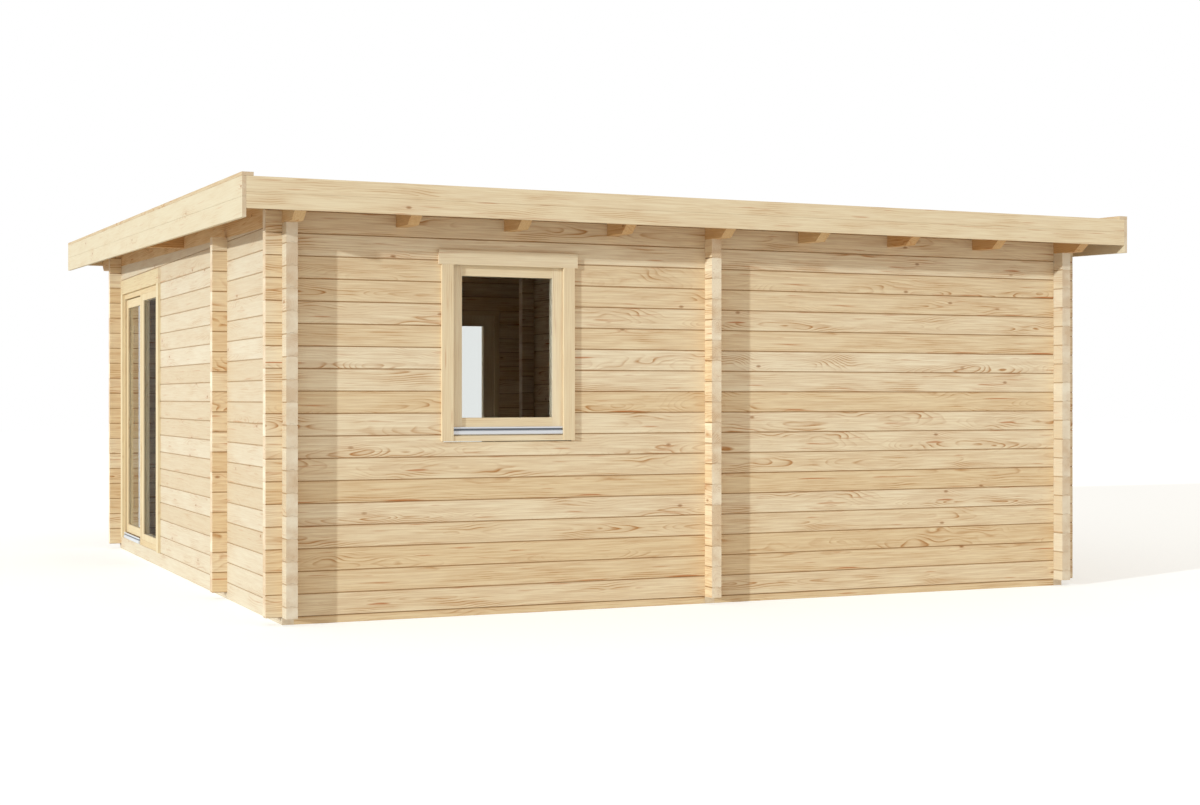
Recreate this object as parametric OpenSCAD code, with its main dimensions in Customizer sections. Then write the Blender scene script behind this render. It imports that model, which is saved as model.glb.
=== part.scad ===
// Log cabin of machined logs with a low mono-pitch roof.
// X runs along the window wall, Y from the low eave to the high eave, Z up.
// The origin is on the ground, under the middle of the roof.

/* [Walls] */
// Outer width of the cabin, along the window wall
wall_w = 5720; // [4800:10:6600]
// Outer depth of the cabin, along the side walls
wall_d = 6050; // [5600:10:7000]
// Thickness of a log
log_t = 70; // [58:1:90]
// Height of a log, which is one course
log_h = 135; // [128:1:142]
// Length of the log ends past a corner
log_end = 100; // [70:1:140]
// Chamfer along a log's edges, which makes the V joints
log_chamfer = 5; // [2:0.5:9]
// Width of the tongue on a log's top
tongue_w = 24; // [16:1:30]
// Height of the tongue
tongue_h = 8; // [5:0.5:12]
// Whole courses below the course that carries the rafters
courses = 17; // [17:1:19]
// Height of the half log under the window wall and the far wall
base_h = 45; // [30:1:60]

/* [Partition and braces] */
// Length of the partition from the window wall's outer face
partition_len = 3220; // [2600:10:3600]
// Distance of the braces on the side walls from the window wall's outer face
brace_y = 1530; // [1000:10:2400]

/* [Roof] */
// Pitch of the roof in degrees
roof_pitch = 1.35; // [0.5:0.05:3]
// Number of rafters
rafters = 9; // [7:2:11]
// Width of a rafter
rafter_w = 70; // [45:1:90]
// Height of a rafter
rafter_h = 186; // [150:1:230]
// Height of the rafters' undersides over the last whole course, at the window wall
rafter_seat = 57; // [35:1:60]
// Overhang of the low eave, to the fascia's outer face
low_overhang = 335; // [250:5:450]
// Overhang of the high eave, to the fascia's outer face
high_overhang = 1080; // [700:10:1300]
// Overhang at each side, to the fascia's outer face
side_overhang = 315; // [230:5:420]
// Length of the cut on the rafters' tails
tail_len = 80; // [40:1:110]
// Height of the cut on the rafters' tails
tail_rise = 58; // [25:1:70]
// Thickness of the roof boards
deck_t = 20; // [16:1:28]
// Thickness of the fascia boards
fascia_t = 25; // [18:1:32]
// Height of the fascias at the low and the high eave
eave_fascia_h = 185; // [160:1:200]
// Height of the fascias at the sides
side_fascia_h = 238; // [225:1:280]
// Width of the caps on the side fascias
cap_w = 68; // [50:1:90]
// Thickness of those caps
cap_t = 22; // [16:1:30]
// Distance of the outriggers from the window wall's outer face
outrigger_y = 3050; // [2500:10:3600]
// Height of an outrigger
outrigger_h = 176; // [120:1:180]

/* [Floor] */
// Height of the joists
joist_h = 62; // [45:1:70]
// Width of the joists
joist_w = 58; // [40:1:90]
// Thickness of the floor boards
floor_t = 28; // [19:1:34]

/* [Window] */
// Centre of the window from the left wall's outer face
window_x = 1441; // [1200:1:1700]
// Width of the window frame
window_w = 850; // [700:10:1000]
// Height of the window frame
window_h = 1150; // [900:10:1200]
// Drop of the window frame's top below the rafters at the wall
window_drop = 162; // [140:1:300]
// Width of the window sash's stiles and rails
sash_w = 76; // [60:1:95]

/* [Glazed doors] */
// Width of a door frame
door_w = 1730; // [1500:10:1900]
// Courses that a door frame is high
door_courses = 16; // [15:1:16]
// Distance of the terrace door's frame from the far wall's inner face
terrace_margin = 160; // [110:1:400]
// Width of the opening leaf's stiles
leaf_w = 90; // [70:1:120]
// Height of the rails of a leaf or a fixed light
leaf_rail = 72; // [60:1:140]
// Width of the stiles beside the fixed glass
fixed_w = 112; // [80:1:140]
// Depth of the fixed light's face behind the wall's outer face
fixed_set = 2; // [1:1:14]
// Rails of the terrace door's fixed light
fixed_rail = 54; // [45:1:90]
// Rails of the far door's lights
far_rail = 105; // [60:1:120]
// Width of the casings beside the doors
door_casing_w = 85; // [60:1:100]
// Centre of the far door from the left wall's outer face
far_door_x = 2760; // [2600:10:2900]
// Opening gap round the terrace leaf
leaf_gap = 9; // [8:0.5:12]

/* [Frames and casings] */
// Width of the frames' jambs and heads
frame_w = 45; // [35:1:60]
// Depth of a sash or a leaf
sash_t = 50; // [40:1:52]
// Depth of a sash's face behind the wall's outer face
sash_set = 14; // [8:1:16]
// Width of the casings beside the window
casing_w = 75; // [60:1:100]
// Thickness of the casings
casing_t = 20; // [14:1:28]
// Height of the window's head casing
window_head_h = 90; // [70:1:110]
// Height of the doors' head casings
door_head_h = 122; // [90:1:125]
// Overhang of the window's head casing past its sides
head_ear = 20; // [0:1:40]
// Thickness of the glass
glass_t = 6; // [4:1:10]
// Depth of the glass in its grooves
glass_in = 12; // [8:1:18]
// Setback of the glass in its sash
glass_set = 12; // [8:1:22]
// Height of the weather bars
bar_h = 45; // [30:1:55]
// Distance that a weather bar stands out from the sash
bar_out = 18; // [12:1:26]

/* [Hinges] */
// Radius of a hinge pin
pin_r = 6; // [5:0.5:8]
// Wall of a hinge knuckle
knuckle_wall = 4; // [3:0.5:5]
// Length of a hinge
hinge_len = 110; // [80:1:140]
// Thickness of the hinge plates
plate_t = 3; // [2:0.5:4]
// Width of the hinge plates
plate_w = 36; // [30:1:42]

/* [Clearances] */
// Gap between a log and the next course
seam = 0.4; // [0.2:0.1:1]
// Gap beside a log in a notch, and beside a rafter in its seat
fit = 0.5; // [0.3:0.1:1]
// Gap between pieces that are screwed or bedded together
seat = 0.3; // [0.2:0.1:0.6]
// Gap between a frame and the logs of its opening
frame_gap = 5; // [2:1:10]

/* [Hidden] */
$fn = 48;

// Colours
spruce = "#dcbf93";
spruce_side = "#e3c9a0";
spruce_trim = "#e2c391";
aluminium = "#b9bdc2";
steel = "#8e9094";
glass = "#39424a";

// Notch depth at a crossing, and the height where the side walls' courses start
notch_h = log_h / 4;
side_z = base_h + log_h / 2;
over = 1;
far_y = wall_d - log_t;
right_x = wall_w - log_t;
partition_x = (wall_w - log_t) / 2;
partition_end_y = partition_len - log_end - log_t;
brace_len = log_t + 2 * log_end;

// Roof lines
slope = tan(roof_pitch);
rafter_z = base_h + courses * log_h + rafter_seat;
rafter_pitch = (wall_w - rafter_w) / (rafters - 1);
eave_low = -low_overhang;
eave_high = wall_d + high_overhang;
sky = rafter_z + slope * eave_high + rafter_h + side_fascia_h;
function roof_z(y) = rafter_z + slope * y;
function deck_z(y) = roof_z(y) + rafter_h;
function rafter_x(i) = i * rafter_pitch;
least_log = 25;

// Courses from start up to z, without a last log that would be thinner than least_log
function courses_to(z, start) = ceil((z - start - least_log) / log_h);

// Openings in the logs
window_gap = [window_x - window_w / 2 - frame_gap, window_x + window_w / 2 + frame_gap];
window_top = rafter_z - window_drop;
window_z = window_top - window_h;
door_h = door_courses * log_h;
terrace_y = wall_d - log_t - terrace_margin - door_w / 2;
terrace_gap = [terrace_y - door_w / 2 - frame_gap, terrace_y + door_w / 2 + frame_gap];
far_gap = [far_door_x - door_w / 2 - frame_gap, far_door_x + door_w / 2 + frame_gap];

// Door leaves, in the door's own frame: x along the wall, y into the cabin
leaf_x0 = -door_w / 2 + frame_w + leaf_gap;
leaf_x1 = -frame_w / 2 - leaf_gap;
leaf_z0 = side_z + frame_w + leaf_gap;
leaf_z1 = side_z + door_h - frame_w - leaf_gap;
fixed_x0 = frame_w / 2 + seat;
fixed_x1 = door_w / 2 - frame_w - seat;
light_z0 = frame_w + seat;
light_z1 = door_h - frame_w - 2 * seat;
function glass_y(set) = set + glass_set;

// Hinge line of the terrace leaf, just inside the wall's inner face
knuckle_r = pin_r + knuckle_wall;
knuckle_air = 1;
hinge_x = -door_w / 2 + frame_w + leaf_gap / 2;
hinge_y = log_t + knuckle_r + knuckle_air;
hinge_count = 3;
hinge_inset = 220;

// Puts the cabin's left front corner where it stands in the part's frame
module stand() translate([-wall_w / 2, -(eave_low + eave_high) / 2, 0]) children();

// Cross-section of a log: chamfered edges, a tongue on top and a groove that takes the tongue below
module log_profile(h) {
    tongue = [(log_t - tongue_w) / 2, (log_t + tongue_w) / 2];
    groove = [tongue[0] - fit, tongue[1] + fit];
    groove_h = tongue_h + fit;
    polygon([[log_chamfer, 0], [groove[0], 0], [groove[0], groove_h], [groove[1], groove_h], [groove[1], 0],
             [log_t - log_chamfer, 0], [log_t, log_chamfer], [log_t, h - log_chamfer], [log_t - log_chamfer, h],
             [tongue[1], h], [tongue[1], h + tongue_h], [tongue[0], h + tongue_h], [tongue[0], h],
             [log_chamfer, h], [0, h - log_chamfer], [0, log_chamfer]]);
}

// A log along X from x0 to x1, with notches for the walls that cross it
module x_log(x0, x1, y, z, crossings) {
    difference() {
        translate([x0, y, z]) rotate([90, 0, 90]) linear_extrude(x1 - x0) log_profile(log_h - seam);
        for (x = crossings) if (x > x0 - log_t && x < x1) {
            translate([x - fit, y - over, z - over]) cube([log_t + 2 * fit, log_t + 2 * over, notch_h + over]);
            translate([x - fit, y - over, z + log_h - notch_h - seam])
                cube([log_t + 2 * fit, log_t + 2 * over, notch_h + tongue_h + over]);
        }
    }
}

// A log along Y from y0 to y1, with notches for the walls that cross it
module y_log(x, y0, y1, z, crossings) {
    difference() {
        translate([x, y1, z]) rotate([90, 0, 0]) linear_extrude(y1 - y0) log_profile(log_h - seam);
        for (y = crossings) if (y > y0 - log_t && y < y1) {
            translate([x - over, y - fit, z - over]) cube([log_t + 2 * over, log_t + 2 * fit, notch_h + over]);
            translate([x - over, y - fit, z + log_h - notch_h - seam])
                cube([log_t + 2 * over, log_t + 2 * fit, notch_h + tongue_h + over]);
        }
    }
}

// The space over a line that follows the roof's slope, from x0 to x1
module over_slope(x0, x1, rise) {
    translate([x0, 0, 0]) rotate([90, 0, 90]) linear_extrude(x1 - x0)
        polygon([[eave_low, roof_z(eave_low) + rise], [eave_high, roof_z(eave_high) + rise],
                 [eave_high, sky], [eave_low, sky]]);
}

// The seats of all rafters
module rafter_seats() {
    for (i = [0:rafters - 1]) over_slope(rafter_x(i) - fit, rafter_x(i) + rafter_w + fit, -seat);
}

// One course of a wall along X: a whole log, or two beside an opening
module x_course(y, z, crossings, gap, gap_z) {
    x0 = -log_end;
    x1 = wall_w + log_end;
    split = z + log_chamfer > gap_z[0] && z + log_h - log_chamfer < gap_z[1];
    difference() {
        if (split) {
            x_log(x0, gap[0], y, z, crossings);
            x_log(gap[1], x1, y, z, crossings);
        } else {
            x_log(x0, x1, y, z, crossings);
        }
        translate([gap[0], y - over, gap_z[0]])
            cube([gap[1] - gap[0], log_t + 2 * over, gap_z[1] - gap_z[0]]);
        if (z + log_h + tongue_h > roof_z(y)) rafter_seats();
        if (z + log_h + tongue_h > deck_z(y)) {
            over_slope(-side_overhang, wall_w + side_overhang, rafter_h - seat);
            translate([-side_overhang, y - over, z - over])
                cube([side_overhang + log_t, log_t + 2 * over, 2 * log_h]);
            translate([right_x, y - over, z - over])
                cube([side_overhang + log_t, log_t + 2 * over, 2 * log_h]);
        }
    }
}

// All courses of a wall along X, from the ground to the roof boards
module x_wall(y, crossings, gap, gap_z) {
    top = courses_to(deck_z(y), base_h);
    for (n = [0:top - 1]) x_course(y, base_h + n * log_h, crossings, gap, gap_z);
    difference() {
        translate([log_t + fit, y, 0]) cube([wall_w - 2 * (log_t + fit), log_t, base_h - seam]);
        for (x = crossings) translate([x - fit, y - over, -over])
            cube([log_t + 2 * fit, log_t + 2 * over, base_h + 2 * over]);
    }
}

// One course of a wall along Y, cut to the roof's slope under its rafter
module y_course(x, y1, z, crossings, gap, gap_z) {
    y0 = -log_end;
    split = gap[1] > gap[0] && z + log_chamfer > gap_z[0] && z + log_h - log_chamfer < gap_z[1];
    difference() {
        if (split) {
            y_log(x, y0, gap[0], z, crossings);
            y_log(x, gap[1], y1, z, crossings);
        } else {
            y_log(x, y0, y1, z, crossings);
        }
        if (z + log_h + tongue_h > roof_z(y0)) over_slope(x - over, x + log_t + over, -seat);
    }
}

// The bottom log of a wall along Y, with its ends cut clear of the ground and no tongue under a door
module y_base(x, y1, crossings, gap) {
    difference() {
        translate([x, y1, 0]) rotate([90, 0, 0]) linear_extrude(y1 + log_end) {
            log_profile(side_z - seam);
            square([log_t, side_z / 2]);
        }
        for (y = crossings) translate([x - over, y - fit, side_z - notch_h - seam])
            cube([log_t + 2 * over, log_t + 2 * fit, notch_h + tongue_h + over]);
        if (gap[1] > gap[0]) translate([x - over, gap[0], side_z - seam])
            cube([log_t + 2 * over, gap[1] - gap[0], 2 * tongue_h]);
        translate([x - over, -log_end - over, -over]) cube([log_t + 2 * over, log_end + over, base_h + over]);
        if (y1 > wall_d) translate([x - over, wall_d, -over])
            cube([log_t + 2 * over, log_end + over, base_h + over]);
    }
}

// All courses of a wall along Y, from the ground to its rafter
module y_wall(x, y1, crossings, gap = [0, 0], gap_z = [0, 0]) {
    top = courses_to(roof_z(y1), side_z);
    for (n = [0:top - 1]) y_course(x, y1, side_z + n * log_h, crossings, gap, gap_z);
    y_base(x, y1, crossings, gap);
}

// A column of short logs along X that crosses the wall at cross_x
module brace(x0, cross_x, y) {
    x1 = x0 + brace_len;
    top = courses_to(roof_z(y), base_h);
    for (n = [0:top - 1]) difference() {
        x_log(x0, x1, y, base_h + n * log_h, [cross_x]);
        if (base_h + (n + 1) * log_h + tongue_h > roof_z(y)) over_slope(x0 - over, x1 + over, -seat);
    }
    for (x = [x0, cross_x + log_t + fit]) if (x > -log_end && x + log_end < wall_w + log_end)
        translate([x, y, 0]) cube([log_end - fit, log_t, base_h - seam]);
}

module window_wall_logs() color(spruce) stand()
    x_wall(0, [0, partition_x, right_x], window_gap, [window_z - frame_gap, window_top + frame_gap]);

module far_wall_logs() color(spruce) stand()
    x_wall(far_y, [0, right_x], far_gap, [base_h, base_h + door_h]);

module left_wall_logs() color(spruce_side) stand()
    y_wall(0, wall_d + log_end, [0, brace_y, far_y], terrace_gap, [side_z, side_z + door_h]);

module right_wall_logs() color(spruce_side) stand()
    y_wall(right_x, wall_d + log_end, [0, brace_y, far_y]);

module partition_logs() color(spruce_side) stand()
    y_wall(partition_x, partition_len, [0, partition_end_y]);

module partition_end_logs() color(spruce) stand()
    brace(partition_x - log_end, partition_x, partition_end_y);

module left_brace_logs() color(spruce) stand() brace(-log_end, 0, brace_y);

module right_brace_logs() color(spruce) stand() brace(right_x - log_end, right_x, brace_y);

// A rafter with its tails cut back at both eaves
module rafter(i) color(spruce) stand() {
    y0 = eave_low + fascia_t + seat;
    y1 = eave_high - fascia_t - seat;
    translate([rafter_x(i), 0, 0]) rotate([90, 0, 90]) linear_extrude(rafter_w)
        polygon([[y0, roof_z(y0) + tail_rise], [y0 + tail_len, roof_z(y0 + tail_len)],
                 [y1 - tail_len, roof_z(y1 - tail_len)], [y1, roof_z(y1) + tail_rise],
                 [y1, deck_z(y1) - seat], [y0, deck_z(y0) - seat]]);
}

// A board or plate that follows the roof's slope, from rise to rise + h over the rafters' undersides
module sloped(x0, x1, y0, y1, rise, h) {
    translate([x0, 0, 0]) rotate([90, 0, 90]) linear_extrude(x1 - x0)
        polygon([[y0, roof_z(y0) + rise], [y1, roof_z(y1) + rise],
                 [y1, roof_z(y1) + rise + h], [y0, roof_z(y0) + rise + h]]);
}

module roof_boards() color(spruce_trim) stand()
    sloped(fascia_t + seat - side_overhang, wall_w + side_overhang - fascia_t - seat,
           eave_low + fascia_t + seat, eave_high - fascia_t - seat, rafter_h, deck_t);

// An upright fascia across an eave, between the side fascias
module eave_fascia(y) {
    x0 = fascia_t + seat - side_overhang;
    translate([x0, y, roof_z(y) + side_fascia_h - eave_fascia_h])
        cube([wall_w - 2 * x0, fascia_t, eave_fascia_h]);
}

module low_fascia() color(spruce_trim) stand() eave_fascia(eave_low);

module high_fascia() color(spruce_trim) stand() eave_fascia(eave_high - fascia_t);

module left_fascia() color(spruce_trim) stand()
    sloped(-side_overhang, fascia_t - side_overhang, eave_low, eave_high, 0, side_fascia_h);

module right_fascia() color(spruce_trim) stand()
    sloped(wall_w + side_overhang - fascia_t, wall_w + side_overhang, eave_low, eave_high, 0, side_fascia_h);

module verge_caps() color(spruce_trim) stand() {
    for (x = [-side_overhang, wall_w + side_overhang - cap_w])
        sloped(x, x + cap_w, eave_low, eave_high, side_fascia_h + seat, cap_t);
}

// Short blocks that carry the side fascias on the outer rafters
module outriggers() color(spruce) stand() {
    reach = side_overhang - fascia_t - 2 * seat;
    for (x = [fascia_t + seat - side_overhang, wall_w + seat])
        sloped(x, x + reach, outrigger_y, outrigger_y + rafter_w, rafter_h - seat - outrigger_h, outrigger_h);
}

// Joists on the ground, halfway between the rafters
module floor_joists() color(spruce) stand() {
    for (i = [0:rafters - 2])
        translate([rafter_x(i) + (rafter_pitch + rafter_w - joist_w) / 2, log_t + fit, 0])
            cube([joist_w, wall_d - 2 * (log_t + fit), joist_h]);
}

// Room left round a column of short logs that stands through the floor
module brace_well(x, y) translate([x - fit, y - fit, 0]) cube([brace_len + 2 * fit, log_t + 2 * fit, log_h]);

module floor_boards() color(spruce_side) stand() difference() {
    translate([log_t + fit, log_t + fit, joist_h + seat])
        cube([wall_w - 2 * (log_t + fit), wall_d - 2 * (log_t + fit), floor_t]);
    translate([partition_x - fit, 0, 0]) cube([log_t + 2 * fit, partition_len + fit, log_h]);
    brace_well(partition_x - log_end, partition_end_y);
    brace_well(-log_end, brace_y);
    brace_well(right_x - log_end, brace_y);
}

// A glazed frame of two stiles and two rails, with a groove for its glass
module sash(x0, x1, z0, z1, side, rail, set) {
    difference() {
        union() {
            for (x = [x0, x1 - side]) translate([x, set, z0]) cube([side, sash_t, z1 - z0]);
            for (z = [z0, z1 - rail]) translate([x0 + side + seat, set, z])
                cube([x1 - x0 - 2 * (side + seat), sash_t, rail]);
        }
        translate([x0 + side - glass_in - seat, glass_y(set) - seat, z0 + rail - glass_in - seat])
            cube([x1 - x0 - 2 * (side - glass_in - seat), glass_t + 2 * seat,
                  z1 - z0 - 2 * (rail - glass_in - seat)]);
    }
}

// The pane of such a frame
module pane(x0, x1, z0, z1, side, rail, set) {
    translate([x0 + side - glass_in, glass_y(set), z0 + rail - glass_in])
        cube([x1 - x0 - 2 * (side - glass_in), glass_t, z1 - z0 - 2 * (rail - glass_in)]);
}

// An aluminium bar that throws rain clear of a sash's foot, with a drip at its front
module weather_bar(x0, x1, z) {
    back = sash_set - seat;
    front = sash_set - bar_out;
    lip = bar_h / 4;
    translate([x0, 0, 0]) rotate([90, 0, 90]) linear_extrude(x1 - x0)
        polygon([[back, z], [back, z + bar_h], [back - lip / 2, z + bar_h], [front, z + lip * 2],
                 [front, z + lip / 2], [front + lip / 2, z]]);
}

// The window stands in the window wall's own frame, so it needs no turning
window_x0 = window_x - window_w / 2;
window_x1 = window_x + window_w / 2;
window_sash_x0 = window_x0 + frame_w + seat;
window_sash_x1 = window_x1 - frame_w - seat;
sill_h = 38;
window_sash_z0 = window_z + sill_h + bar_h - sash_set + seat;
window_sash_z1 = window_top - frame_w - seat;
sill_nose = 15;
sill_fall = 7.6;
casing_lap = 20;

module window_frame() color(spruce_trim) stand() {
    for (x = [window_x0, window_x1 - frame_w]) translate([x, 0, window_z]) cube([frame_w, log_t, window_h]);
    translate([window_x0 + frame_w + seat, 0, window_top - frame_w])
        cube([window_w - 2 * (frame_w + seat), log_t, frame_w]);
    difference() {
        translate([window_x0 + frame_w + seat, 0, 0]) rotate([90, 0, 90])
            linear_extrude(window_w - 2 * (frame_w + seat))
            polygon([[-sill_nose, window_z], [log_t, window_z], [log_t, window_sash_z0 - seat],
                     [sash_set, window_sash_z0 - seat], [sash_set, window_z + sill_h],
                     [-sill_nose, window_z + sill_h - sill_fall]]);
        for (x = [window_x0 - casing_lap, window_x1 + casing_lap - casing_w - seat])
            translate([x, -2 * sill_nose, window_z - over]) cube([casing_w + seat, 2 * sill_nose, log_h]);
    }
}

module window_sash() color(spruce_trim) stand()
    sash(window_sash_x0, window_sash_x1, window_sash_z0, window_sash_z1, sash_w, sash_w, sash_set);

module window_glass() color(glass) stand()
    pane(window_sash_x0, window_sash_x1, window_sash_z0, window_sash_z1, sash_w, sash_w, sash_set);

module window_weather_bar() color(aluminium) stand()
    weather_bar(window_x0 + casing_w - casing_lap + seat, window_x1 - casing_w + casing_lap - seat,
                window_z + sill_h + seat);

module window_casing() color(spruce_trim) stand() {
    x0 = window_x0 - casing_lap;
    x1 = window_x1 + casing_lap;
    head_z = window_top - frame_w - casing_lap / 2;
    for (x = [x0, x1 - casing_w]) translate([x, -casing_t - seat, window_z])
        cube([casing_w, casing_t, head_z - window_z - seat]);
    translate([x0 - head_ear, -casing_t - seat, head_z]) cube([x1 - x0 + 2 * head_ear, casing_t, window_head_h]);
}

// A double door's frame: sill, head, jambs and the post between the two lights
module door_frame(z) translate([0, 0, z]) {
    for (x = [-door_w / 2, -frame_w / 2, door_w / 2 - frame_w]) translate([x, 0, frame_w + seat])
        cube([frame_w, log_t, door_h - 2 * frame_w - 3 * seat]);
    for (dz = [0, door_h - frame_w - seat]) translate([-door_w / 2, 0, dz]) cube([door_w, log_t, frame_w]);
}

// The fixed light beside the opening leaf
module fixed_light(z, rail) translate([0, 0, z])
    sash(fixed_x0, fixed_x1, light_z0, light_z1, fixed_w, rail, fixed_set);

module fixed_pane(z, rail) translate([0, 0, z])
    pane(fixed_x0, fixed_x1, light_z0, light_z1, fixed_w, rail, fixed_set);

// Casing boards round a door: two uprights and a head
module door_casing(z) translate([0, -casing_t - seat, z]) {
    out = door_w / 2 + door_casing_w - casing_lap;
    for (x = [-out, out - door_casing_w]) translate([x, 0, 0]) cube([door_casing_w, casing_t, door_h - seat]);
    translate([-out, 0, door_h]) cube([2 * out, casing_t, door_head_h]);
}

// Turns a door from its own frame into the left wall or the far wall
module in_left_wall() stand() translate([0, terrace_y, 0]) rotate([0, 0, -90]) children();

module in_far_wall() stand() translate([far_door_x, wall_d, 0]) rotate([0, 0, 180]) children();

module terrace_frame() color(spruce_trim) in_left_wall() {
    door_frame(side_z);
    fixed_light(side_z, fixed_rail);
}

module terrace_fixed_glass() color(glass) in_left_wall() fixed_pane(side_z, fixed_rail);

module terrace_leaf() color(spruce_trim) in_left_wall()
    sash(leaf_x0, leaf_x1, leaf_z0, leaf_z1, leaf_w, leaf_rail, sash_set);

module terrace_leaf_glass() color(glass) in_left_wall()
    pane(leaf_x0, leaf_x1, leaf_z0, leaf_z1, leaf_w, leaf_rail, sash_set);

module terrace_weather_bar() color(aluminium) in_left_wall()
    translate([0, -sash_set - seat, 0]) weather_bar(leaf_x0, leaf_x1, side_z + seat);

module terrace_casing() color(spruce_trim) in_left_wall() door_casing(side_z);

// The heights of the hinges, from the leaf's foot to its head
function hinge_z(i) = leaf_z0 + hinge_inset
    + i * (leaf_z1 - leaf_z0 - 2 * hinge_inset - hinge_len) / (hinge_count - 1);

// A pin on a plate that is screwed to the jamb
module terrace_hinge_pins() color(steel) in_left_wall()
    for (i = [0:hinge_count - 1]) translate([hinge_x, hinge_y, hinge_z(i)]) {
        translate([0, 0, -hinge_len / 3]) cylinder(r = pin_r, h = hinge_len * 4 / 3);
        translate([0, 0, -hinge_len / 3]) cylinder(r = knuckle_r, h = hinge_len / 3 - seat);
        translate([-plate_w, log_t + seat - hinge_y, -hinge_len / 3])
            cube([plate_w, plate_t, hinge_len / 3 - seat]);
        translate([-knuckle_r, log_t + seat - hinge_y, -hinge_len / 3])
            cube([knuckle_r, hinge_y - log_t - seat, hinge_len / 3 - seat]);
    }

// A bored knuckle on a plate that is screwed to the leaf
module terrace_hinge_knuckles() color(steel) in_left_wall()
    for (i = [0:hinge_count - 1]) translate([hinge_x, hinge_y, hinge_z(i)]) difference() {
        union() {
            cylinder(r = knuckle_r, h = hinge_len - over);
            translate([leaf_gap / 2, sash_set + sash_t + seat - hinge_y, 0])
                cube([plate_w, plate_t, hinge_len - over]);
            translate([0, sash_set + sash_t + seat - hinge_y, 0])
                cube([knuckle_r + leaf_gap / 2, hinge_y - sash_set - sash_t - seat, hinge_len - over]);
        }
        translate([0, 0, -over]) cylinder(r = pin_r + seat, h = hinge_len + 2 * over);
    }

module far_door_frame() color(spruce_trim) in_far_wall() {
    door_frame(base_h);
    fixed_light(base_h, far_rail);
}

module far_door_leaf() color(spruce_trim) in_far_wall() mirror([1, 0, 0]) fixed_light(base_h, far_rail);

module far_door_glass() color(glass) in_far_wall() {
    fixed_pane(base_h, far_rail);
    mirror([1, 0, 0]) fixed_pane(base_h, far_rail);
}

module far_door_weather_bar() color(aluminium) in_far_wall()
    translate([0, -sash_set - seat, 0]) weather_bar(leaf_x0, leaf_x1, base_h + seat);

module far_door_casing() color(spruce_trim) in_far_wall() door_casing(base_h);

window_wall_logs();
left_wall_logs();
far_wall_logs();
right_wall_logs();
partition_logs();
partition_end_logs();
left_brace_logs();
right_brace_logs();
for (i = [1:rafters]) rafter(i - 1);
roof_boards();
low_fascia();
high_fascia();
left_fascia();
right_fascia();
verge_caps();
outriggers();
floor_joists();
floor_boards();
window_frame();
window_sash();
window_glass();
window_weather_bar();
window_casing();
terrace_frame();
terrace_fixed_glass();
terrace_leaf();
terrace_leaf_glass();
terrace_weather_bar();
terrace_casing();
terrace_hinge_pins();
terrace_hinge_knuckles();
far_door_frame();
far_door_leaf();
far_door_glass();
far_door_weather_bar();
far_door_casing();
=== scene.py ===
import math

import bmesh
import bpy
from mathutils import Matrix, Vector


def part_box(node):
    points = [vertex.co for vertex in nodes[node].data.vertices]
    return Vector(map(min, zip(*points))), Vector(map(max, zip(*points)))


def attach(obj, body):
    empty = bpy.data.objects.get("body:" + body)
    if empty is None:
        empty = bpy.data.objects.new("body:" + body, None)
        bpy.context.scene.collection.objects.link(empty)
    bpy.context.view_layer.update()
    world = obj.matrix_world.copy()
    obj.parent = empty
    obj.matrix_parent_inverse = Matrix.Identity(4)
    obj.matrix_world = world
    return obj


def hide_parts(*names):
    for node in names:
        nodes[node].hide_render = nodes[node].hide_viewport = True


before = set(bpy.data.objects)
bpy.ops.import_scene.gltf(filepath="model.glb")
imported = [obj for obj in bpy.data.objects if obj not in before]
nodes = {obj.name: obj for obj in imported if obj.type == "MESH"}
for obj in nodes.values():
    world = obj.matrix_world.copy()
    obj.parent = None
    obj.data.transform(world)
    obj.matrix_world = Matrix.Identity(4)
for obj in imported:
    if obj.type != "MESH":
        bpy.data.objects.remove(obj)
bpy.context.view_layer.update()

# Camera
# The picture was taken from low in front of the window wall, left of its corner, with upright lines kept
# parallel. Its place is measured from the corner where the window wall meets the left wall.
corner_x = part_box("left_wall_logs")[0].x
corner_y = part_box("window_wall_logs")[0].y
camera_left = 2.5926
camera_back = 10.57
eye_height = 1.354
camera_turn = math.radians(23.8)
frame_width_px = 1200
horizon_lift_px = 4.6
camera_data = bpy.data.cameras.new("camera")
camera_data.sensor_width = 36.0
camera_data.lens = 53.98
camera_data.shift_y = -horizon_lift_px / frame_width_px
camera_data.clip_end = 200.0
camera = bpy.data.objects.new("camera", camera_data)
camera.location = (corner_x - camera_left, corner_y - camera_back, eye_height)
camera.rotation_euler = (math.pi / 2, 0.0, -camera_turn)
bpy.context.scene.collection.objects.link(camera)
bpy.context.scene.camera = camera

# Log walls
# The walls are planed spruce logs, tongued and grooved, with a V joint at each seam. Each log is a length of
# solid timber, so the growth rings run through it and show as arches, lines and, at its ends, as arcs.
log_h = 0.135
window_wall_start = 0.045
side_wall_start = window_wall_start + log_h / 2


def linear(hex_colour):
    """A hex colour as linear red, green, blue and alpha."""
    parts = [int(hex_colour[i:i + 2], 16) / 255 for i in (1, 3, 5)]
    return [c / 12.92 if c <= 0.04045 else ((c + 0.055) / 1.055) ** 2.4 for c in parts] + [1.0]


def add(tree, kind, links=(), stops=(), **settings):
    """A node with its settings. Each link is (socket, source) or (socket, number or colour), and each stop of
    a grey ramp is (place, level)."""
    node = tree.nodes.new("ShaderNode" + kind)
    for name, value in settings.items():
        setattr(node, name, value)
    for socket, source in links:
        if isinstance(source, bpy.types.NodeSocket):
            tree.links.new(source, node.inputs[socket])
        else:
            node.inputs[socket].default_value = source
    elements = node.color_ramp.elements if stops else ()
    while len(elements) < len(stops):
        elements.new(1.0)
    for element, (place, level) in zip(elements, stops):
        element.position = place
        element.color = (level, level, level, 1.0)
    return node


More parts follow.
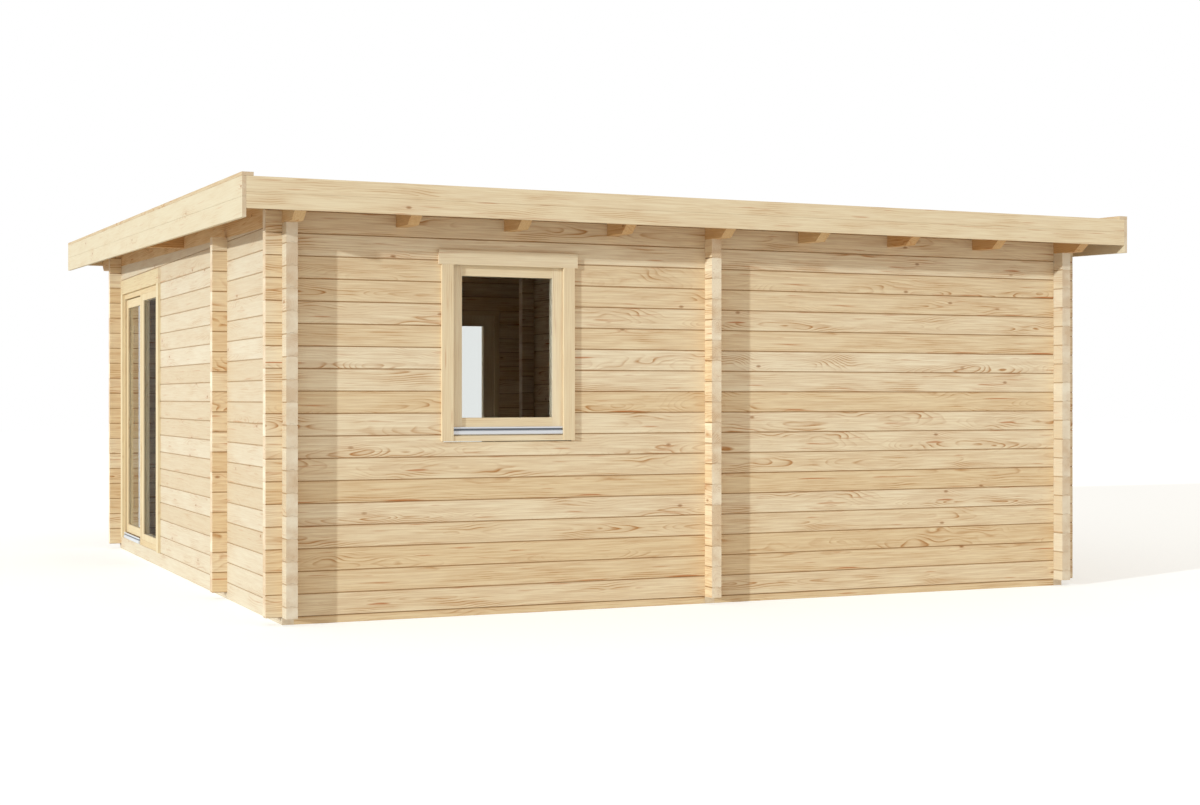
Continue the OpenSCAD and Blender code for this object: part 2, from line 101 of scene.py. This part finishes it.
def spruce(name, node, along, seed, course=None, rails=None, light="#f6e8cb", deep="#ead2aa",
           joint="#a0713d", joint_share=0.68, knots=1.0, marks=1.0):
    """Planed spruce with its grain along an axis of a node. course=(axis, start, height) gives each log or
    board of a stack its own timber, and rails=(axis, start, stop, along) turns the grain in that stretch."""
    # Sizes along the grain, through the timber and up it. Rings are really 2 to 5 mm apart and fibres under
    # 0.1 mm thick, and both are drawn coarser so that they show.
    ring_mm = 13.0
    bow_mm = (1100, 500, 400)
    figure_mm = (450, 110, 84)
    fibre_mm = (250, 7.7, 7.7)
    pocket_mm = (310, 20, 13.5)
    knot_field_mm = (420, 200, 1000)
    late, resin, knot = "#b0763a", "#b5682f", "#94602f"
    # In metres: the stretch of tree that logs are picked from, then the spread and least value of the pith's
    # offset through and up the timber and of the sway of the rings, and how far a knot bends the rings
    tree_length = 23.0
    pith_through, pith_up = (0.11, -0.03), (0.12, -0.06)
    sway_range = (0.34, 0.08)
    knot_bend = 0.016
    material = bpy.data.materials.new(name)
    material.use_nodes = True
    tree = material.node_tree
    tree.nodes.clear()
    here = add(tree, "TexCoord").outputs["Object"]
    facing = add(tree, "TexCoord").outputs["Normal"]
    xyz = add(tree, "SeparateXYZ", [(0, here)]).outputs
    low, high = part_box(node)
    place = add(tree, "VectorMath", [(0, here), (1, (low + high) / 2)], operation="SUBTRACT").outputs[0]

    def order(source, axis):
        """A place or direction as its parts along, through and up the grain."""
        parts = add(tree, "SeparateXYZ", [(0, source)]).outputs
        first, second, third = {"X": "XYZ", "Y": "YXZ", "Z": "ZXY"}[axis]
        return add(tree, "CombineXYZ", [(0, parts[first]), (1, parts[second]), (2, parts[third])]).outputs[0]

    grain = order(place, along)
    grain_facing = order(facing, along)
    inside = 0.0
    if rails:
        axis, start, stop, rail_along = rails
        offset = add(tree, "Math", [(0, xyz[axis]), (1, (start + stop) / 2)], operation="SUBTRACT").outputs[0]
        offset = add(tree, "Math", [(0, offset)], operation="ABSOLUTE").outputs[0]
        inside = add(tree, "Math", [(0, offset), (1, (stop - start) / 2)], operation="LESS_THAN").outputs[0]
        grain = add(tree, "Mix", [(0, inside), (4, grain), (5, order(place, rail_along))],
                    data_type="VECTOR").outputs[1]
        grain_facing = add(tree, "Mix", [(0, inside), (4, grain_facing), (5, order(facing, rail_along))],
                           data_type="VECTOR").outputs[1]
    u, v, w = add(tree, "SeparateXYZ", [(0, grain)]).outputs
    # Each course has its own log, so its number picks the log's place in the tree and its tint
    pick = add(tree, "CombineXYZ", [(0, seed), (1, inside)]).outputs[0]
    if course:
        axis, start, height = course
        step = add(tree, "Math", [(0, xyz[axis]), (1, start)], operation="SUBTRACT").outputs[0]
        number = add(tree, "Math", [(0, step), (1, height)], operation="DIVIDE").outputs[0]
        number = add(tree, "Math", [(0, number)], operation="FLOOR").outputs[0]
        core = add(tree, "Math", [(0, number), (1, height), (2, start + height / 2)],
                   operation="MULTIPLY_ADD").outputs[0]
        local = add(tree, "Math", [(0, xyz[axis]), (1, core)], operation="SUBTRACT").outputs[0]
        v, w = (v, local) if axis == "Z" else (local, w)
        pick = add(tree, "CombineXYZ", [(0, number), (1, seed)]).outputs[0]
    chance = add(tree, "TexWhiteNoise", [("Vector", pick)]).outputs["Color"]
    chance = add(tree, "SeparateColor", [(0, chance)]).outputs
    slide = add(tree, "Math", [(0, chance[0]), (1, tree_length), (2, u)], operation="MULTIPLY_ADD").outputs[0]
    timber = add(tree, "CombineXYZ", [(0, slide), (1, v), (2, w)]).outputs[0]
    # Knots: branches that met the trunk, each a small oval with the grain bent round it
    field = add(tree, "CombineXYZ", [(0, slide), (1, w)]).outputs[0]
    field = add(tree, "VectorMath", [(0, field), (1, [1000 / size for size in knot_field_mm]),
                                     (2, add(tree, "CombineXYZ", [(1, chance[1])]).outputs[0])],
                operation="MULTIPLY_ADD").outputs[0]
    cell = add(tree, "TexVoronoi", [("Vector", field), ("Scale", 1.0)], voronoi_dimensions="2D").outputs
    shown = add(tree, "SeparateColor", [(0, cell["Color"])]).outputs[0]
    shown = add(tree, "ValToRGB", [(0, shown)], [(0.86, 0.0), (0.9, knots)]).outputs[0]
    near = add(tree, "ValToRGB", [(0, cell["Distance"])], [(0.0, 1.0), (0.12, 0.5), (0.36, 0.0)]).outputs[0]
    near = add(tree, "Math", [(0, near), (1, shown)], operation="MULTIPLY").outputs[0]
    heart = add(tree, "ValToRGB", [(0, cell["Distance"])],
                [(0.0, 0.8), (0.03, 0.55), (0.055, 0.0)]).outputs[0]
    heart = add(tree, "Math", [(0, heart), (1, shown)], operation="MULTIPLY").outputs[0]
    # Growth rings about a pith that wanders and lies up to 80 mm off the middle of the timber
    bow_at = add(tree, "VectorMath", [(0, timber), (1, [1000 / size for size in bow_mm])],
                 operation="MULTIPLY").outputs[0]
    bow = add(tree, "TexNoise", [("Vector", bow_at), ("Scale", 1.0), ("Detail", 3.0)]).outputs["Fac"]
    pith_v = add(tree, "Math", [(0, chance[2]), (1, pith_through[0]), (2, pith_through[1])],
                 operation="MULTIPLY_ADD").outputs[0]
    pith_w = add(tree, "Math", [(0, chance[1]), (1, pith_up[0]), (2, pith_up[1])],
                 operation="MULTIPLY_ADD").outputs[0]
    from_pith = add(tree, "CombineXYZ", [
        (0, add(tree, "Math", [(0, v), (1, pith_v)], operation="ADD").outputs[0]),
        (1, add(tree, "Math", [(0, w), (1, pith_w)], operation="ADD").outputs[0])]).outputs[0]
    radius = add(tree, "VectorMath", [(0, from_pith)], operation="LENGTH").outputs["Value"]
    sway = add(tree, "Math", [(0, chance[1]), (1, sway_range[0]), (2, sway_range[1])],
               operation="MULTIPLY_ADD").outputs[0]
    radius = add(tree, "Math", [(0, bow), (1, sway), (2, radius)], operation="MULTIPLY_ADD").outputs[0]
    radius = add(tree, "Math", [(0, near), (1, knot_bend), (2, radius)], operation="MULTIPLY_ADD").outputs[0]
    ring = add(tree, "Math", [(0, radius), (1, 1000 / ring_mm)], operation="MULTIPLY").outputs[0]
    ring = add(tree, "Math", [(0, ring)], operation="FRACT").outputs[0]
    ring = add(tree, "ValToRGB", [(0, ring)], [(0.0, 0.0), (0.55, 0.18), (0.86, 1.0), (1.0, 0.0)]).outputs[0]
    # Stretches where the late wood is strong, over a tint that differs from log to log
    figure_at = add(tree, "VectorMath", [(0, timber), (1, [1000 / size for size in figure_mm])],
                    operation="MULTIPLY").outputs[0]
    figure = add(tree, "TexNoise", [("Vector", figure_at), ("Scale", 1.0), ("Detail", 4.0)]).outputs["Fac"]
    strong = add(tree, "ValToRGB", [(0, figure)], [(0.44, 0.05), (0.56, 0.3), (0.67, 1.0)]).outputs[0]
    tone = add(tree, "Math", [(0, figure), (1, 0.5), (2, chance[0])], operation="MULTIPLY_ADD").outputs[0]
    tone = add(tree, "ValToRGB", [(0, tone)], [(0.1, 0.0), (1.4, 1.0)]).outputs[0]
    colour = add(tree, "Mix", [(0, tone), (6, linear(light)), (7, linear(deep))], data_type="RGBA").outputs[2]
    late_share = add(tree, "Math", [(0, ring), (1, strong)], operation="MULTIPLY").outputs[0]
    late_share = add(tree, "Math", [(0, late_share), (1, 0.95 * marks)], operation="MULTIPLY").outputs[0]
    colour = add(tree, "Mix", [(0, late_share), (6, colour), (7, linear(late))], data_type="RGBA").outputs[2]
    # Fibres: fine darker lines along the grain
    fibre_at = add(tree, "VectorMath", [(0, timber), (1, [1000 / size for size in fibre_mm])],
                   operation="MULTIPLY").outputs[0]
    fibre = add(tree, "TexNoise", [("Vector", fibre_at), ("Scale", 1.0), ("Detail", 5.0)]).outputs["Fac"]
    lines = add(tree, "ValToRGB", [(0, fibre)], [(0.36, 0.0), (0.74, 0.4 * marks)]).outputs[0]
    colour = add(tree, "Mix", [(0, lines), (6, colour), (7, linear(late))], data_type="RGBA").outputs[2]
    # Resin: in the rings round a knot, and in pockets that lie along the grain as thin orange streaks
    ooze = add(tree, "Math", [(0, near), (1, ring)], operation="MULTIPLY").outputs[0]
    ooze = add(tree, "Math", [(0, ooze), (1, 0.45)], operation="MULTIPLY").outputs[0]
    colour = add(tree, "Mix", [(0, ooze), (6, colour), (7, linear(resin))], data_type="RGBA").outputs[2]
    pocket_at = add(tree, "VectorMath", [(0, timber), (1, [1000 / size for size in pocket_mm])],
                    operation="MULTIPLY").outputs[0]
    pocket = add(tree, "TexNoise", [("Vector", pocket_at), ("Scale", 1.0), ("Detail", 1.0)]).outputs["Fac"]
    pocket = add(tree, "ValToRGB", [(0, pocket)], [(0.69, 0.0), (0.78, 0.8 * marks)]).outputs[0]
    colour = add(tree, "Mix", [(0, pocket), (6, colour), (7, linear(resin))], data_type="RGBA").outputs[2]
    colour = add(tree, "Mix", [(0, heart), (6, colour), (7, linear(knot))], data_type="RGBA").outputs[2]
    # Sawn ends are greyer than the planed faces, and no two are quite alike
    end = add(tree, "SeparateXYZ", [(0, grain_facing)]).outputs[0]
    end = add(tree, "Math", [(0, end)], operation="ABSOLUTE").outputs[0]
    end = add(tree, "ValToRGB", [(0, end)], [(0.75, 0.0), (0.9, 0.55)]).outputs[0]
    sawn = add(tree, "Math", [(0, chance[2]), (1, 0.5), (2, figure)], operation="MULTIPLY_ADD").outputs[0]
    sawn = add(tree, "ValToRGB", [(0, sawn)], [(0.5, 0.0), (0.95, 1.0)]).outputs[0]
    sawn = add(tree, "Mix", [(0, sawn), (6, linear("#faeed9")), (7, linear("#d4b798"))],
               data_type="RGBA").outputs[2]
    colour = add(tree, "Mix", [(0, end), (6, colour), (7, sawn)], data_type="RGBA").outputs[2]
    # The V joints between logs gather shade and dust
    if course:
        rim = add(tree, "Math", [(0, local)], operation="ABSOLUTE").outputs[0]
        rim = add(tree, "Math", [(0, rim), (1, height / 2)], operation="DIVIDE").outputs[0]
        rim = add(tree, "ValToRGB", [(0, rim)], [(0.93, 0.0), (0.965, joint_share)]).outputs[0]
        side = add(tree, "Math", [(0, end), (1, -1.3), (2, 1.0)], operation="MULTIPLY_ADD").outputs[0]
        rim = add(tree, "Math", [(0, rim), (1, side)], operation="MULTIPLY").outputs[0]
        colour = add(tree, "Mix", [(0, rim), (6, colour), (7, linear(joint))], data_type="RGBA").outputs[2]
    relief = add(tree, "Math", [(0, fibre), (1, 0.5), (2, late_share)], operation="MULTIPLY_ADD").outputs[0]
    bump = add(tree, "Bump", [("Height", relief), ("Strength", 0.25), ("Distance", 0.0008)]).outputs[0]
    gloss = add(tree, "ValToRGB", [(0, fibre)], [(0.3, 0.58), (0.8, 0.72)]).outputs[0]
    shader = add(tree, "BsdfPrincipled", [("Base Color", colour), ("Roughness", gloss), ("Normal", bump),
                                          ("Specular IOR Level", 0.2)])
    add(tree, "OutputMaterial", [(0, shader.outputs[0])])
    return material


def finish_with(names, material):
    """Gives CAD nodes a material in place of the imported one."""
    for name in names:
        nodes[name].data.materials.clear()
        nodes[name].data.materials.append(material)


front_courses = ("Z", window_wall_start, log_h)
side_courses = ("Z", side_wall_start, log_h)
for i, wall in enumerate(["window_wall", "far_wall"]):
    finish_with([wall + "_logs"], spruce("spruce_log_" + wall, wall + "_logs", "X", 1.0 + i, front_courses))
# The side walls' timber is a darker copy of the window wall's: painted shade that holds back the low sun
# on the left wall. It also has fewer marks
for i, wall in enumerate(["left_wall", "right_wall"]):
    finish_with([wall + "_logs"], spruce("spruce_log_" + wall, wall + "_logs", "Y", 3.0 + i, side_courses,
                                         light="#e1d5be", deep="#d5c2a4", joint="#a87f4e", joint_share=0.5,
                                         marks=0.4))

# Partition and braces
# Inner wall and short stiffening logs of the same planed spruce, notched through the outer walls so that
# their sawn ends show outside.
finish_with(["partition_logs"], spruce("spruce_log_partition", "partition_logs", "Y", 5.0, side_courses))
finish_with(["partition_end_logs", "left_brace_logs", "right_brace_logs"],
            spruce("spruce_log_braces", "partition_end_logs", "X", 6.0, front_courses))

# Rafters and outriggers
# Sawn and planed spruce joists on edge, let into the top logs, with their tails cut back at the eaves.
# Outriggers are short blocks of the same timber that reach out to the side fascias.
rafter_light, rafter_deep = "#e7ca9b", "#d4aa76"
rafters = sorted(name for name in nodes if name.startswith("rafter_"))
for i, name in enumerate(rafters):
    finish_with([name], spruce("spruce_" + name, name, "Y", 10.0 + i, light=rafter_light, deep=rafter_deep))
finish_with(["outriggers"],
            spruce("spruce_outriggers", "outriggers", "X", 20.0, light=rafter_light, deep=rafter_deep))

# Roof boards
# Tongued and grooved spruce boards, nailed across the rafters from eave to eave. They are bare on top, and
# their undersides show between the rafters at the eaves.
deck_low, deck_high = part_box("roof_boards")
deck_t = 0.020
deck_board_w = 0.096
board_gap = 0.0015


def board(mesh, x0, x1, y0, y1, z0, z1, rise=0.0, chamfer=0.002):
    """One board with chamfered edges, lying from (x0, y0, z0) to (x1, y1, z1); rise lifts its y1 side."""
    cx, cy, cz = (x0 + x1) / 2, (y0 + y1) / 2, (z0 + z1) / 2
    made = bmesh.ops.create_cube(mesh, size=1.0)["verts"]
    for vert in made:
        lift = rise * (vert.co.y + 0.5)
        vert.co = (cx + vert.co.x * (x1 - x0), cy + vert.co.y * (y1 - y0), cz + vert.co.z * (z1 - z0) + lift)
    edges = list({edge for vert in made for edge in vert.link_edges})
    bmesh.ops.bevel(mesh, geom=edges, offset=chamfer, segments=1, affect="EDGES")


def piece(name, mesh, material, node):
    """A finished mesh as an object that rides on the cabin and stands for the node it replaces."""
    data = bpy.data.meshes.new(name)
    mesh.to_mesh(data)
    mesh.free()
    data.materials.append(material)
    made = bpy.data.objects.new(name, data)
    bpy.context.scene.collection.objects.link(made)
    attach(made, "cabin")
    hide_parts(node)


deck_rows = round((deck_high.y - deck_low.y) / deck_board_w)
deck_row_w = (deck_high.y - deck_low.y) / deck_rows
deck_rise = deck_high.z - deck_low.z - deck_t
mesh = bmesh.new()
for i in range(deck_rows):
    y0 = deck_low.y + i * deck_row_w
    y1 = y0 + deck_row_w - board_gap
    z0 = deck_low.z + deck_rise * i / deck_rows
    board(mesh, deck_low.x, deck_high.x, y0, y1, z0, z0 + deck_t, deck_rise / deck_rows)
deck_courses = ("Y", deck_low.y, deck_row_w)
# The boards' colour is deeper than the walls', in part painted shade for their undersides at the eaves
deck_spruce = spruce("spruce_roof_boards", "roof_boards", "X", 30.0, deck_courses, light="#e4c594",
                     deep="#d2aa74", joint="#7a5735", joint_share=0.5, marks=0.6)
piece("roof_board_rows", mesh, deck_spruce, "roof_boards")

# Fascias and verge caps
# Planed spruce boards nailed to the rafter ends and along the sides, two boards high. A flat cap board lies
# on each side fascia and covers its end grain.
eave_light, eave_deep = "#f2e5c8", "#e8d1a9"
# Painted shade: the side fascias and verge caps take a darker copy of the eave timber, against the low sun
verge_pale_with_shade, verge_deep_with_shade = "#dcd0b5", "#d1bd9b"
roof_pitch = math.radians(1.35)
fascia_seam = 0.0005
fascia_chamfer = 0.0012


def fascia(node, seed, along):
    """Two boards on edge in place of a fascia node. On the sides they follow the roof's pitch."""
    low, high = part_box(node)
    light, deep, marks, rise = eave_light, eave_deep, 0.7, 0.0
    if along == "Y":
        # The sides take the darker painted-shade colours
        light, deep, marks, rise = verge_pale_with_shade, verge_deep_with_shade, 0.25, (high.y - low.y) * math.tan(roof_pitch)
    height = (high.z - low.z - rise) / 2
    made = bmesh.new()
    for i in range(2):
        z0 = low.z + i * height
        board(made, low.x, high.x, low.y, high.y, z0 + i * fascia_seam, z0 + height, rise, fascia_chamfer)
    material = spruce("spruce_" + node, node, along, seed, light=light, deep=deep, marks=marks)
    piece(node + "_boards", made, material, node)


fascia("low_fascia", 40.0, "X")
fascia("high_fascia", 41.0, "X")
fascia("left_fascia", 42.0, "Y")
fascia("right_fascia", 43.0, "Y")
finish_with(["verge_caps"],
            spruce("spruce_verge_caps", "verge_caps", "Y", 44.0, light=verge_pale_with_shade, deep=verge_deep_with_shade))

# Floor
# Spruce joists on the ground with boards nailed across them. The boards stop at the partition and at the
# short logs that stand through the floor.
finish_with(["floor_joists"],
            spruce("spruce_floor_joists", "floor_joists", "Y", 50.0, light="#cfae7c", deep="#b98f58"))
floor_low, floor_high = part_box("floor_boards")
partition_low, partition_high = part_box("partition_logs")
stub_low, stub_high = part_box("partition_end_logs")
brace_low, brace_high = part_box("left_brace_logs")
right_brace_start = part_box("right_brace_logs")[0].x
floor_gap = 0.0006
floor_board_w = 0.121
floor_rows = round((floor_high.y - floor_low.y) / floor_board_w)
floor_row_w = (floor_high.y - floor_low.y) / floor_rows
mesh = bmesh.new()
for i in range(floor_rows):
    y0 = floor_low.y + i * floor_row_w
    y1 = y0 + floor_row_w - board_gap
    left, right = floor_low.x, floor_high.x
    if y0 < brace_high.y + floor_gap and y1 > brace_low.y - floor_gap:
        left, right = brace_high.x + floor_gap, right_brace_start - floor_gap
    cuts = []
    if y0 < partition_high.y + floor_gap:
        cuts = [partition_low.x - floor_gap, partition_high.x + floor_gap]
    if y0 < stub_high.y + floor_gap and y1 > stub_low.y - floor_gap:
        cuts = [stub_low.x - floor_gap, stub_high.x + floor_gap]
    spans = [(left, cuts[0]), (cuts[1], right)] if cuts else [(left, right)]
    for x0, x1 in spans:
        board(mesh, x0, x1, y0, y1, floor_low.z, floor_high.z)
floor_courses = ("Y", floor_low.y, floor_row_w)
floor_spruce = spruce("spruce_floor_boards", "floor_boards", "X", 51.0, floor_courses, light="#d6b684",
                      deep="#bd935a", joint="#7a5735", joint_share=0.5)
piece("floor_board_rows", mesh, floor_spruce, "floor_boards")

# Window
# A fixed spruce frame in the window wall with a planed spruce sash, a sealed glass unit and casing boards
# nailed round it. An extruded aluminium bar throws rain off the sash's foot.
glass_grip = 0.012
frame_w = 0.045
window_head_h = 0.090
door_head_h = 0.122
seam = 0.0005


def joinery(node, along, seed, rails, light="#f3e5c8", deep="#e9d3ab", knots=0.2):
    """Clear spruce with weak marks for frames, sashes, leaves and casings."""
    finish_with([node], spruce("spruce_" + node, node, along, seed, rails=rails, light=light, deep=deep,
                               knots=knots, marks=0.5))


def casing(node, seed, head_h, head_along, light, deep, knots):
    """Upright casing boards with a head board, head_h high, across their tops."""
    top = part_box(node)[1].z
    joinery(node, "Z", seed, ("Z", top - head_h - seam, top + seam, head_along), light, deep, knots)


sash_low, sash_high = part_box("window_sash")
pane_low, pane_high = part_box("window_glass")
joinery("window_frame", "Z", 60.0, ("X", sash_low.x, sash_high.x, "X"))
joinery("window_sash", "Z", 61.0, ("X", pane_low.x + glass_grip, pane_high.x - glass_grip, "X"))
casing("window_casing", 62.0, window_head_h, "X", "#f6ead0", "#ecd8b4", 0.4)


def clear_glass(name, ior):
    """Float glass: smooth, nearly colourless, faintly wavy, and dark where the unlit room shows through."""
    wave_mm = 450
    material = bpy.data.materials.new(name)
    material.use_nodes = True
    tree = material.node_tree
    tree.nodes.clear()
    place = add(tree, "TexCoord").outputs["Object"]
    wave = add(tree, "TexNoise", [("Vector", place), ("Scale", 1000 / wave_mm),
                                  ("Detail", 1.0)]).outputs["Fac"]
    bump = add(tree, "Bump", [("Height", wave), ("Strength", 0.02), ("Distance", 0.002)]).outputs[0]
    shader = add(tree, "BsdfPrincipled", [("Base Color", linear("#f0f2f1")), ("Roughness", 0.0), ("IOR", ior),
                                          ("Transmission Weight", 1.0), ("Normal", bump)])
    add(tree, "OutputMaterial", [(0, shader.outputs[0])])
    return material


# Most of the panes mirror little, so their IOR lies below the 1.5 of plain glass
finish_with(["window_glass"], clear_glass("float_glass_window", 1.06))

# Depth from the back and height from the foot of the bar's section
bar_profile_mm = [(0, 0), (0, 50), (-12, 50), (-14, 48), (-14, 40), (-3, 39), (-3, 31), (-12, 28), (-18, 24),
                  (-18, 5), (-15, 2), (-6, 0)]
groove_mm = (29, 40)


def extruded_aluminium(name, along, foot):
    """Mill-finish extrusion: pale grey metal with faint die lines along it, and painted shade in the groove,
    whose height is counted from the bar's foot."""
    # Real die lines are finer, and are drawn about 1 mm apart so that they show
    line_mm = 1.1
    run_mm = 650
    material = bpy.data.materials.new(name)
    material.use_nodes = True
    tree = material.node_tree
    tree.nodes.clear()
    place = add(tree, "TexCoord").outputs["Object"]
    fine, long = 1000 / line_mm, 1000 / run_mm
    stretch = (long, fine, fine) if along == "X" else (fine, long, fine)
    lines_at = add(tree, "VectorMath", [(0, place), (1, stretch)], operation="MULTIPLY").outputs[0]
    lines = add(tree, "TexNoise", [("Vector", lines_at), ("Scale", 1.0), ("Detail", 2.0)]).outputs["Fac"]
    gloss = add(tree, "ValToRGB", [(0, lines)], [(0.3, 0.34), (0.7, 0.48)]).outputs[0]
    bump = add(tree, "Bump", [("Height", lines), ("Strength", 0.06), ("Distance", 0.0003)]).outputs[0]
    tint = add(tree, "Mix", [(0, lines), (6, linear("#cfd2d9")), (7, linear("#e3e5ea"))],
               data_type="RGBA").outputs[2]
    groove_middle = foot + sum(groove_mm) / 2000
    groove_half = (groove_mm[1] - groove_mm[0]) / 2000
    height = add(tree, "SeparateXYZ", [(0, place)]).outputs[2]
    height = add(tree, "Math", [(0, height), (1, groove_middle)], operation="SUBTRACT").outputs[0]
    height = add(tree, "Math", [(0, height)], operation="ABSOLUTE").outputs[0]
    # Painted shade: the groove is tinted dark blue-grey where its shadow falls
    groove = add(tree, "Math", [(0, height), (1, groove_half)], operation="LESS_THAN").outputs[0]
    groove = add(tree, "Math", [(0, groove), (1, 0.85)], operation="MULTIPLY").outputs[0]
    tint = add(tree, "Mix", [(0, groove), (6, tint), (7, linear("#4c5460"))], data_type="RGBA").outputs[2]
    shader = add(tree, "BsdfPrincipled", [("Base Color", tint), ("Metallic", 0.35), ("Roughness", gloss),
                                          ("Normal", bump)])
    add(tree, "OutputMaterial", [(0, shader.outputs[0])])
    return material


def weather_bar(node, out, reach):
    """A stepped extrusion in place of a node, which faces the way of out and stands out by reach."""
    low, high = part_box(node)
    along_x = out in ("-Y", "+Y")
    ends = (low.x, high.x) if along_x else (low.y, high.y)
    sign = -1.0 if out[0] == "-" else 1.0
    back = {"-X": high.x, "+X": low.x, "-Y": high.y, "+Y": low.y}[out]
    deepest = min(depth for depth, height in bar_profile_mm)
    made = bmesh.new()
    rings = []
    for end in ends:
        ring = []
        for depth, height in bar_profile_mm:
            across = back + sign * reach * depth / deepest
            z = low.z + height / 1000
            ring.append(made.verts.new((end, across, z) if along_x else (across, end, z)))
        rings.append(ring)
        made.faces.new(ring)
    count = len(bar_profile_mm)
    for i in range(count):
        j = (i + 1) % count
        made.faces.new((rings[0][i], rings[0][j], rings[1][j], rings[1][i]))
    bmesh.ops.recalc_face_normals(made, faces=made.faces)
    material = extruded_aluminium("mill_aluminium_" + node, "X" if along_x else "Y", low.z)
    piece(node + "_profile", made, material, node)


weather_bar("window_weather_bar", "-Y", 0.018)

# Terrace door
# A spruce frame in the left wall holds a fixed light and, beside it, a leaf on steel hinges that opens
# inwards. Casing boards cover the joint with the logs, and an aluminium bar lies below the leaf.
# Painted shade: the door's joinery on the sunlit left wall is a darker copy of the window's, against the low
# sun
sunny_side_pale_with_shade, sunny_side_deep_with_shade = "#e8d8b4", "#dcc49a"
terrace_low, terrace_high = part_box("terrace_frame")
pane_low, pane_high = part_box("terrace_leaf_glass")
joinery("terrace_frame", "Y", 70.0, ("Z", terrace_low.z + frame_w, terrace_high.z - frame_w, "Z"),
        sunny_side_pale_with_shade, sunny_side_deep_with_shade)
joinery("terrace_leaf", "Z", 71.0, ("Y", pane_low.y + glass_grip, pane_high.y - glass_grip, "Y"),
        sunny_side_pale_with_shade, sunny_side_deep_with_shade)
finish_with(["terrace_fixed_glass"], clear_glass("float_glass_terrace", 1.012))
finish_with(["terrace_leaf_glass"], clear_glass("float_glass_terrace_leaf", 1.45))
weather_bar("terrace_weather_bar", "-X", 0.012)
# The casing is painted darker than the window's too, as shade against the sun
casing("terrace_casing", 72.0, door_head_h, "Y", "#e8d9b6", "#decaa2", 0.3)

# Hinges
# Zinc-plated steel pins on the jamb and bored knuckles on the leaf, bright and slightly mottled by the
# plating.
spangle_mm = 6.25
zinc = bpy.data.materials.new("zinc_plated_steel")
zinc.use_nodes = True
tree = zinc.node_tree
tree.nodes.clear()
place = add(tree, "TexCoord").outputs["Object"]
spangle = add(tree, "TexNoise", [("Vector", place), ("Scale", 1000 / spangle_mm),
                                 ("Detail", 3.0)]).outputs["Fac"]
tint = add(tree, "Mix", [(0, spangle), (6, linear("#9a9da1")), (7, linear("#c2c4c7"))],
           data_type="RGBA").outputs[2]
gloss = add(tree, "ValToRGB", [(0, spangle)], [(0.3, 0.32), (0.7, 0.5)]).outputs[0]
shader = add(tree, "BsdfPrincipled", [("Base Color", tint), ("Metallic", 1.0), ("Roughness", gloss)])
add(tree, "OutputMaterial", [(0, shader.outputs[0])])
finish_with(["terrace_hinge_pins", "terrace_hinge_knuckles"], zinc)

# Far door
# The same glazed door in the far wall, under the deep eave: a spruce frame with two glazed lights, casing
# boards and an aluminium bar.
far_low, far_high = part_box("far_door_frame")
joinery("far_door_frame", "X", 80.0, ("Z", far_low.z + frame_w, far_high.z - frame_w, "Z"))
joinery("far_door_leaf", "Z", 81.0, None)
finish_with(["far_door_glass"], clear_glass("float_glass_far_door", 1.06))
weather_bar("far_door_weather_bar", "+Y", 0.012)
casing("far_door_casing", 82.0, door_head_h, "X", "#f6ead0", "#ecd8b4", 0.3)

# Floor and light
# A plain pale floor, even light from all round, and a low sun from the left that draws the short shadows of
# the log ends on the window wall.
ground_half = 60.0
ground_drop = 0.0005
floor_glow = 0.37
light_level = 0.72
sun_side = math.radians(69.5)
sun_height = math.radians(12.0)


def seen_directly(tree):
    """1 for rays from the camera, off metal or through glass, which see the white background, and else 0."""
    path = add(tree, "LightPath").outputs
    mask = add(tree, "Math", [(0, path["Is Camera Ray"]), (1, path["Is Glossy Ray"])],
               operation="MAXIMUM").outputs[0]
    return add(tree, "Math", [(0, mask), (1, path["Is Transmission Ray"])], operation="MAXIMUM").outputs[0]


ground = bpy.data.meshes.new("ground")
corners = [(-1, -1), (1, -1), (1, 1), (-1, 1)]
ground.from_pydata([(x * ground_half, y * ground_half, 0) for x, y in corners], [], [(0, 1, 2, 3)])
ground_object = bpy.data.objects.new("ground", ground)
ground_object.location.z = -ground_drop
bpy.context.scene.collection.objects.link(ground_object)
pale = bpy.data.materials.new("pale_floor")
pale.use_nodes = True
tree = pale.node_tree
tree.nodes.clear()
matt = add(tree, "BsdfDiffuse", [("Color", linear("#eef2f4"))]).outputs[0]
glow = add(tree, "Emission", [("Color", linear("#ffffff")), ("Strength", floor_glow)]).outputs[0]
glow = add(tree, "MixShader", [(0, seen_directly(tree)), (2, glow)]).outputs[0]
both = add(tree, "AddShader", [(0, matt), (1, glow)]).outputs[0]
add(tree, "OutputMaterial", [(0, both)])
ground.materials.append(pale)

world = bpy.data.worlds.new("studio")
world.use_nodes = True
tree = world.node_tree
tree.nodes.clear()
direct = seen_directly(tree)
strength = add(tree, "Math", [(0, direct), (1, 1.0 - light_level), (2, light_level)],
               operation="MULTIPLY_ADD").outputs[0]
tint = add(tree, "Mix", [(0, direct), (6, linear("#fff7ec")), (7, linear("#ffffff"))],
           data_type="RGBA").outputs[2]
sky = add(tree, "Background", [("Color", tint), ("Strength", strength)]).outputs[0]
add(tree, "OutputWorld", [(0, sky)])
bpy.context.scene.world = world

sun_data = bpy.data.lights.new("sun", "SUN")
sun_data.energy = 2.4
sun_data.angle = math.radians(1.2)
sun_data.color = (0.84, 0.95, 1.0)
sun = bpy.data.objects.new("sun", sun_data)
towards = Vector((-math.sin(sun_side) * math.cos(sun_height), -math.cos(sun_side) * math.cos(sun_height),
                  math.sin(sun_height)))
sun.rotation_euler = towards.to_track_quat("Z", "Y").to_euler()
bpy.context.scene.collection.objects.link(sun)

bpy.context.scene.view_settings.view_transform = "Standard"
